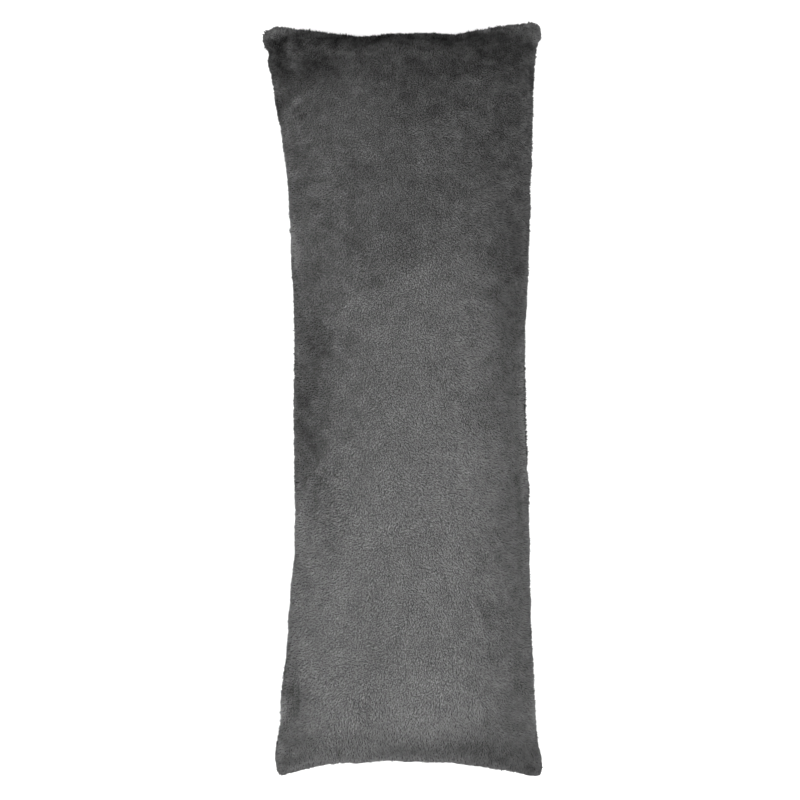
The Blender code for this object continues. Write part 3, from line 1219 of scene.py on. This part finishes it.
def locks(facing, seed):
    """Roots, ups, leans, tips and shades of all the locks of one panel.

    A tip is its root plus rise along the normal, plus lean along the nap, plus the pull up the
    slope of the stroke field.
    """
    rng = np.random.default_rng(seed)
    places = scattered(LOCK_SPACING, rng)
    x, y = places.T
    grid_place = x / HALF_CELL_X, y / HALF_CELL_Y
    grids = panels[facing], *directions(panels[facing], facing)
    root, up, right, ahead = (read_grid(grid, *grid_place) for grid in grids)
    field = strokes(facing)
    slopes = np.stack(np.gradient(field), axis=-1)
    stroke_place = x / STROKE_CELL, y / STROKE_CELL
    bursts = 1 + BURSTS * soft_noise(x, y, BURST_SIZE, 402)
    tousled = (1 - SMOOTHED * combed(x, y)) * bursts
    if facing > 0:
        tousled = tousled * tufted(root[:, 0], root[:, 1])
    crest = read_grid(field, *stroke_place) * tousled
    pull = np.clip(read_grid(slopes, *stroke_place), -1, 1) * STROKE_PULL * tousled[:, None]

    to_edges = np.minimum(places, (cloth_width, cloth_length) - places)
    from_rim, from_ear = to_edges.min(axis=1), np.linalg.norm(to_edges, axis=1)
    fringe, groove = fading(from_rim, FRINGE), fading(from_rim, GROOVE)
    lean = LOCK_LEAN * rng.uniform(0.7, 1.3, len(places))
    rise = LOCK_RISE * rng.uniform(0.8, 1.15, len(places)) + STROKE_RISE * crest
    clump = soft_noise(x, y, CLUMP_SIZE, 420 + facing)
    rise = rise + FRINGE_RISE * fringe + FRINGE_CLUMPS * clump * fading(from_rim, 2 * FRINGE)
    fluff = EAR_FLUFF[(x > cloth_width / 2).astype(int), (y > cloth_length / 2).astype(int)]
    clump = np.maximum(soft_noise(x, y, EAR_CLUMP_SIZE, 430 + facing), EAR_FLATTEST)
    rise = rise + fluff * clump * fading(from_ear, EAR_REACHED)
    rise = rise * (1 - (1 - GROOVE_RISE) * groove)

    lean_across, lean_along = read_grid(naps[facing], *grid_place).T
    side = right * lean_across[:, None] + ahead * lean_along[:, None]
    tip = root + up * rise[:, None] + side * lean[:, None]
    tip = tip + right * pull[:, :1] + ahead * pull[:, 1:]
    tip[:, 2] = np.maximum(tip[:, 2], FLOOR + TIP_CLEAR)
    dark = GROOVE_DARK * groove + RIM_DARK * fading(from_rim, RIM_DARK_REACH)
    return {
        "place": places,
        "root": root,
        "up": up,
        "side": side / (np.linalg.norm(side, axis=1, keepdims=True) + 1e-9),
        "tip": tip,
        "shade": CREST_SHADE * crest + CHANCE_SHADE * rng.uniform(-1, 1, len(places)) * tousled,
        "rim": (1 - dark) * (1 + rim_tone(x, y, facing)),
        "nap_patches_and_painted_light": nap_patches_and_painted_light(root[:, 0], root[:, 1]),
        "width": LOCK_WIDTH * (1 + FRINGE_STOUT * fringe),
        "turn": rng.uniform(0, 2 * np.pi, len(places)),
    }


grown = {facing: locks(facing, 7 + facing) for facing in (1, -1)}
for facing, lot in grown.items():
    print("locks:", len(lot["root"]), "on the", "front" if facing > 0 else "back")


# %% [markdown]
# ## One mesh for many locks
#
# Two hundred thousand separate objects would stop Blender, and copies of one lock couldn't each
# have a lean and a shade of their own. So the locks of a stretch of the pillow are joined in one
# mesh, built from plain arrays, and each lock's numbers are repeated on its four points.

# %% Join locks in a mesh
LOCK_FACES = np.array([[0, 1, 3], [1, 2, 3], [2, 0, 3], [2, 1, 0]])
ROOT_SUNK = 0.0006  # roots start this far inside the cover
THIRDS = np.arange(3) * 2 * np.pi / 3


def lock_cells(count, faces):
    """A place on the map for each face corner: every lock has a cell of its own."""
    side = int(np.ceil(count**0.5))
    cell = np.stack([np.arange(count) % side, np.arange(count) // side], axis=-1)
    inside = np.array([(0.1, 0.1), (0.9, 0.1), (0.5, 0.3), (0.5, 0.9)])
    return ((cell[:, None, :] + inside) / side).reshape(-1, 2)[faces.ravel()]


def pile_piece(name, lot, chosen):
    """A mesh of the chosen locks, each a base of three corners round its root and one tip.

    The corners are root + w (cos a side + sin a cross(up, side)) at three angles a, 120 degrees
    apart.
    """
    pick = {key: values[chosen] for key, values in lot.items()}
    count = len(pick["root"])
    over = np.cross(pick["up"], pick["side"])
    foot = pick["root"] - pick["up"] * ROOT_SUNK
    points = np.empty((count, 4, 3))
    for corner, third in enumerate(THIRDS):
        angle = pick["turn"] + third
        spread = np.cos(angle)[:, None] * pick["side"] + np.sin(angle)[:, None] * over
        points[:, corner] = foot + spread * pick["width"][:, None] / 2
    points[:, 3] = pick["tip"]
    faces = (np.arange(count)[:, None, None] * 4 + LOCK_FACES).reshape(-1, 3)
    piece = mesh_of(name, points.reshape(-1, 3), faces)
    with_numbers(piece.data, "tip", np.tile([0.0, 0.0, 0.0, 1.0], count))
    for key in ("shade", "rim", "nap_patches_and_painted_light"):
        with_numbers(piece.data, key, np.repeat(pick[key], 4))
    set_map(piece.data, lock_cells(count, faces))
    return piece


# %% Grow the front's pile in three pieces and the back's in two
RESTING_KEPT = 0.12  # the share of the locks that is grown where the pillow lies on the floor
RESTING_CLEAR = 0.0008  # which is where the cover is this near to its lowest
PILE_PIECES = {  # which panel each is on, and from and to which share of the length
    "front_pile_foot": (1, 0, 1 / 3),
    "front_pile_waist": (1, 1 / 3, 2 / 3),
    "front_pile_head": (1, 2 / 3, 1),
    "back_pile_foot": (-1, 0, 0.5),
    "back_pile_head": (-1, 0.5, 1),
}


def stretch(lot, low, high):
    """True for the locks between two shares of the length."""
    share = lot["place"][:, 1] / cloth_length
    return (share >= low) & (share < high)


kept_draw = np.random.default_rng(21).uniform(0, 1, len(grown[-1]["root"]))
clear = grown[-1]["root"][:, 2] > FLOOR + CRUSHED_PILE + RESTING_CLEAR
clear |= kept_draw < RESTING_KEPT
standing = {1: True, -1: clear}
pile = [
    pile_piece(name, grown[facing], standing[facing] & stretch(grown[facing], low, high))
    for name, (facing, low, high) in PILE_PIECES.items()
]
for piece in pile:
    print(piece.name, "triangles:", len(piece.data.polygons))


# %% [markdown]
# ## Finish
#
# Plush is dyed fibre. Deep between the locks little light comes back, and the tips, which stand
# in it, look lighter, so the roots are painted darker: painted shade. A stroke of the hand also
# turns the nap, which leaves broad darker and lighter places, and on top of that painted shade
# darkens the head end, the foot's edge and both sides, where they turn away from the lamps. Both
# depend on the place on the pillow and not on one piece, so one node group works out the nap's
# tone and the painted shade from that place, and the cover and the pile both use it.

# %% Helpers for node trees
def wired(tree, kind, inputs, **settings):
    """Adds a node, sets its properties and its inputs, and links those that are sockets."""
    node = tree.nodes.new(kind)
    for name, value in settings.items():
        setattr(node, name, value)
    for key, value in inputs.items():
        if isinstance(value, bpy.types.NodeSocket):
            tree.links.new(value, node.inputs[key])
        else:
            node.inputs[key].default_value = value
    return node


def maths(tree, operation, *values):
    """The result of one Math node."""
    return wired(tree, "ShaderNodeMath", dict(enumerate(values)), operation=operation).outputs[0]


def remapped(tree, value, low, high, to_low, to_high):
    """A value eased from one range to another with 3 t^2 - 2 t^3."""
    inputs = dict(zip(("From Min", "From Max", "To Min", "To Max"), (low, high, to_low, to_high)))
    inputs["Value"] = value
    node = wired(tree, "ShaderNodeMapRange", inputs, interpolation_type="SMOOTHSTEP")
    return node.outputs["Result"]


def noise(tree, vector, size, detail=2.0):
    """Noise whose bumps are about size metres wide, round 0.5."""
    inputs = {"Vector": vector, "Scale": 1 / size, "Detail": detail}
    return wired(tree, "ShaderNodeTexNoise", inputs).outputs["Fac"]


def attribute(tree, name):
    """The number that each point of a mesh carries under a name."""
    return wired(tree, "ShaderNodeAttribute", {}, attribute_name=name).outputs["Fac"]


def scaled(tree, colour, amount):
    """A colour times a number."""
    inputs = {0: colour, 1: amount}
    return wired(tree, "ShaderNodeVectorMath", inputs, operation="MULTIPLY").outputs[0]


def mixed(tree, share, first, second):
    """A mix of two fixed colours, from the first at 0 to the second at 1."""
    inputs = {"Factor": share, "A": (*first, 1.0), "B": (*second, 1.0)}
    return wired(tree, "ShaderNodeMix", inputs, data_type="RGBA").outputs["Result"]


# %% [markdown]
# ## The tone of the nap, and painted shade
#
# This is the node group that both finishes use. Its tone is a product of broad steps, whose
# borders noise lets wander, plus mottling of four sizes. The steps are partly the nap's own tone
# and partly painted shade: the head end, the foot's edge and both sides are darker, where they
# turn away from the lamps. A single noise would give spots of one size, which real nap never has.

# %% Build the group
# painted shade, partly the nap's tone: the head end and the foot's edge darker
STEPS_ALONG = (  # from and to these places along the pillow, the tone goes from and to these
    (0.56, 0.61, 1.0, 0.80),
    (0.61, 0.66, 1.0, 0.66),
    (-0.630, -0.585, 0.70, 1.0),
)
# partly the nap's tone and partly painted shade: the head half darker, the lower end lighter
WANDERING_ALONG = ((0.17, 0.31, 1.0, 0.70), (-0.35, 0.12, 1.12, 1.0))
# painted shade: both sides darker, where they turn away from the lamps
WANDERING_ACROSS = ((0.10, 0.22, 1.0, 0.65), (-0.215, -0.150, 0.80, 1.0))
DRIFT_SIZE, DRIFT_ALONG, DRIFT_ACROSS = 0.16, 0.35, 0.15  # how the borders wander
MOTTLES = ((0.090, 0.24), (0.036, 0.38), (0.018, 0.34), (0.009, 0.20))  # size and strength
MOTTLED_HEAD = (0.20, 0.55, 1.0, 1.35)  # mottling grows stronger towards the head


def nap_tone_and_painted_shade_group():
    """Tone of the nap and painted shade, about 1: the steps multiplied, and then the mottling
    added.
    """
    group = bpy.data.node_groups.new("nap_tone_and_painted_shade", "ShaderNodeTree")
    group.interface.new_socket("Place", in_out="INPUT", socket_type="NodeSocketVector")
    group.interface.new_socket("Mottling", in_out="INPUT", socket_type="NodeSocketFloat")
    group.interface.new_socket("Tone", in_out="OUTPUT", socket_type="NodeSocketFloat")
    given = group.nodes.new("NodeGroupInput").outputs
    place, mottling = given["Place"], given["Mottling"]
    axes = wired(group, "ShaderNodeSeparateXYZ", {"Vector": place}).outputs
    drift = maths(group, "SUBTRACT", noise(group, place, DRIFT_SIZE, 3.0), 0.5)
    along = maths(group, "MULTIPLY_ADD", drift, DRIFT_ALONG, axes["Y"])
    across = maths(group, "MULTIPLY_ADD", drift, DRIFT_ACROSS, axes["X"])
    steps = [(axes["Y"], step) for step in STEPS_ALONG]
    steps += [(along, step) for step in WANDERING_ALONG]
    steps += [(across, step) for step in WANDERING_ACROSS]
    tone = 1.0
    for value, step in steps:
        tone = maths(group, "MULTIPLY", tone, remapped(group, value, *step))
    mottling = maths(group, "MULTIPLY", mottling, remapped(group, axes["Y"], *MOTTLED_HEAD))
    for size, strength in MOTTLES:
        bump = maths(group, "SUBTRACT", noise(group, place, size), 0.5)
        bump = maths(group, "MULTIPLY", bump, maths(group, "MULTIPLY", mottling, strength))
        tone = maths(group, "ADD", tone, bump)
    wired(group, "NodeGroupOutput", {"Tone": tone})
    return group


nap_tone_and_painted_shade = nap_tone_and_painted_shade_group()
print("nap tone:", len(nap_tone_and_painted_shade.nodes), "nodes")


# %% What both finishes share
TIP_COLOUR = (0.150, 0.150, 0.150)
# painted shade: the roots and the cover between the locks are painted dark, as little light gets
# down there
SHADED_ROOT_COLOUR = (0.028, 0.028, 0.028)
FIBRE = {  # dull dyed fibre, the same all over, so it is set on the shader's own sockets
    "Sheen Weight": 0.05,
    "Sheen Roughness": 0.5,
    "Sheen Tint": (0.8, 0.8, 0.8, 1.0),
    "Specular IOR Level": 0.12,
}


def fibre(name):
    """A new material with the constant values of dull fibre, its node tree and its shader."""
    material = bpy.data.materials.new(name)
    material.use_nodes = True
    shader = material.node_tree.nodes["Principled BSDF"]
    for socket, value in FIBRE.items():
        shader.inputs[socket].default_value = value
    return material, material.node_tree, shader


def toned(tree, colour, mottling):
    """A colour scaled by the nap's tone and painted shade, plus the stroked patches and painted
    light.
    """
    place = tree.nodes.new("ShaderNodeTexCoord").outputs["Object"]
    inputs = {"Place": place, "Mottling": mottling}
    tone = wired(tree, "ShaderNodeGroup", inputs, node_tree=nap_tone_and_painted_shade).outputs["Tone"]
    return scaled(tree, colour, maths(tree, "ADD", tone, attribute(tree, "nap_patches_and_painted_light")))


# %% [markdown]
# ## The pile's finish
#
# A lock has no image and needs none: its height from root to tip, its own shade and the light at
# its place are numbers on its points. The finish mixes root and tip colours by the first, and
# scales the mix by the rest.

# %% The pile's finish
FIBRE_ROUGHNESS = 0.85
PILE_MOTTLING = 1.0
LOCK_VARIES = 0.28  # how much a lock's own shade changes its colour
LOCK_ROUGHNESS_VARIES = 0.06
TIP_FROM, TIP_TO = -0.15, 0.75  # shares of a lock's height between which it turns lighter


def pile_finish():
    """Locks that go from roots painted dark as shade to light tips, each tuft and lock a little
    different.
    """
    material, tree, shader = fibre("plush_pile")
    shade = attribute(tree, "shade")
    rise = remapped(tree, attribute(tree, "tip"), TIP_FROM, TIP_TO, 0.0, 1.0)
    varying = maths(tree, "MULTIPLY_ADD", shade, LOCK_VARIES, 1.0)
    varying = maths(tree, "MULTIPLY", varying, attribute(tree, "rim"))
    colour = scaled(tree, mixed(tree, rise, SHADED_ROOT_COLOUR, TIP_COLOUR), varying)
    rough = maths(tree, "MULTIPLY_ADD", shade, LOCK_ROUGHNESS_VARIES, FIBRE_ROUGHNESS)
    tree.links.new(toned(tree, colour, PILE_MOTTLING), shader.inputs["Base Color"])
    tree.links.new(rough, shader.inputs["Roughness"])
    return material


# %% [markdown]
# ## The cover's finish
#
# The backing is a knit, and what shows of it between locks is small loops, painted dark as the
# shade deep between the locks, and darker still in the gaps between loops: painted shade. Its cells
# are a few millimetres wide, far finer than the mesh, so here a pattern of cells does the work,
# for the colour and for the bump together.

# %% The cover's finish
LOOP_SIZE = 0.0024
LOOP_HEIGHT = 0.0012
LOOP_BUMP = 0.6  # how strongly it shows
# painted shade: the gaps between loops are darker than their tops
LOOP_LIGHTER = 2.2  # how much lighter a loop's top is than the gaps
LOOP_DEPTHS = (0.2, 1.2)  # from a loop's top to the gap beside it
FUZZ_SIZE, FUZZ_HEIGHT = 0.0015, 0.5  # of the fine unevenness on it
FUZZ_ROUGHNESS = (0.85, 0.97)
COVER_MOTTLING = 1.0


def cover_finish():
    """The knitted back and the pile's roots on it, seen between locks: small loops, with painted
    shade.
    """
    material, tree, shader = fibre("plush_cover")
    place = tree.nodes.new("ShaderNodeTexCoord").outputs["Object"]
    loops = wired(tree, "ShaderNodeTexVoronoi", {"Vector": place, "Scale": 1 / LOOP_SIZE})
    fuzz = noise(tree, place, FUZZ_SIZE)
    depth = maths(tree, "MULTIPLY_ADD", fuzz, FUZZ_HEIGHT, loops.outputs["Distance"])
    lighter = [LOOP_LIGHTER * part for part in SHADED_ROOT_COLOUR]
    top = remapped(tree, depth, *LOOP_DEPTHS, 1.0, 0.0)
    colour = toned(tree, mixed(tree, top, SHADED_ROOT_COLOUR, lighter), COVER_MOTTLING)
    relief = {"Height": depth, "Distance": LOOP_HEIGHT, "Strength": LOOP_BUMP}
    bump = wired(tree, "ShaderNodeBump", relief)
    tree.links.new(colour, shader.inputs["Base Color"])
    tree.links.new(remapped(tree, fuzz, 0.2, 0.8, *FUZZ_ROUGHNESS), shader.inputs["Roughness"])
    tree.links.new(bump.outputs["Normal"], shader.inputs["Normal"])
    return material


pile_material = pile_finish()
cover.data.materials.append(cover_finish())
for piece in pile:
    piece.data.materials.append(pile_material)
print("finishes:", [material.name for material in bpy.data.materials])


# %% [markdown]
# ## Floor, light and camera
#
# The pillow lies on a pale floor under wide soft lights, the strongest of them over its foot
# end. The camera hangs straight above it with a long lens, which flattens it as a catalogue
# view does.

# %% Floor
FLOOR_SIZE = 12.0
FLOOR_SHADES = (0.90, 0.93)
FLOOR_ROUGHNESS = 0.9
UNEVEN_PAINT = 0.4  # how wide its patches are


def floor_finish():
    """Matt pale paint with the faintest unevenness."""
    material = bpy.data.materials.new("pale_floor")
    material.use_nodes = True
    tree = material.node_tree
    place = tree.nodes.new("ShaderNodeTexCoord").outputs["Object"]
    shade = remapped(tree, noise(tree, place, UNEVEN_PAINT), 0.2, 0.8, *FLOOR_SHADES)
    colour = wired(tree, "ShaderNodeCombineXYZ", {"X": shade, "Y": shade, "Z": shade})
    shader = tree.nodes["Principled BSDF"]
    tree.links.new(colour.outputs[0], shader.inputs["Base Color"])
    shader.inputs["Roughness"].default_value = FLOOR_ROUGHNESS
    return material


floor_points = np.array([(-1, -1, 0), (1, -1, 0), (1, 1, 0), (-1, 1, 0)]) * FLOOR_SIZE / 2
floor = mesh_of("floor", floor_points + (0, 0, FLOOR), np.array([[0, 1, 2, 3]]))
floor.data.materials.append(floor_finish())
floor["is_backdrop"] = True

# %% Lights
LIGHTS = {  # where each is, its width and its power
    "over_foot": ((0.2, -1.3, 3.4), 3.0, 145.0),
    "over_head": ((-0.4, 1.2, 3.4), 3.0, 70.0),
    "left": ((-3.0, -0.3, 2.6), 2.0, 34.0),
    "right": ((3.0, 0.2, 2.6), 2.0, 14.0),
}
SKY = 1.0
middle = Vector((0.0, 0.0, 0.08))
for name, (place, size, power) in LIGHTS.items():
    lamp = bpy.data.lights.new(name, "AREA")
    lamp.shape = "DISK"
    lamp.size = size
    lamp.energy = power
    holder = linked(name, lamp)
    holder.location = place
    holder.rotation_euler = (middle - holder.location).to_track_quat("-Z", "Y").to_euler()
world = bpy.data.worlds.new("studio")
world.use_nodes = True
background = world.node_tree.nodes["Background"].inputs
background["Color"].default_value = (1.0, 1.0, 1.0, 1.0)
background["Strength"].default_value = SKY
bpy.context.scene.world = world
bpy.context.scene.view_settings.view_transform = "Standard"

# %% Camera straight above, over the outline's middle
CAMERA_HEIGHT = 6.0
VIEW_SIZE = 1.459  # what the frame takes in at the height of the seam
SEAM_HEIGHT = 0.06
OUTLINE_MIDDLE = (-0.0041, -0.0009)
lens = bpy.data.cameras.new("above")
lens.sensor_width = 36.0
lens.lens = lens.sensor_width * (CAMERA_HEIGHT - SEAM_HEIGHT) / VIEW_SIZE
camera = linked("above", lens)
camera.location = (*OUTLINE_MIDDLE, CAMERA_HEIGHT)
bpy.context.scene.camera = camera
print("lens, mm:", round(lens.lens, 1))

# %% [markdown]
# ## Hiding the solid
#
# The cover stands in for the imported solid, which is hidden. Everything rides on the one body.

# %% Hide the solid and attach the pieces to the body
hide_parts("pillow")
for piece in (cover, *pile):
    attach(piece, "root")

# %% Update the scene
bpy.context.view_layer.update()
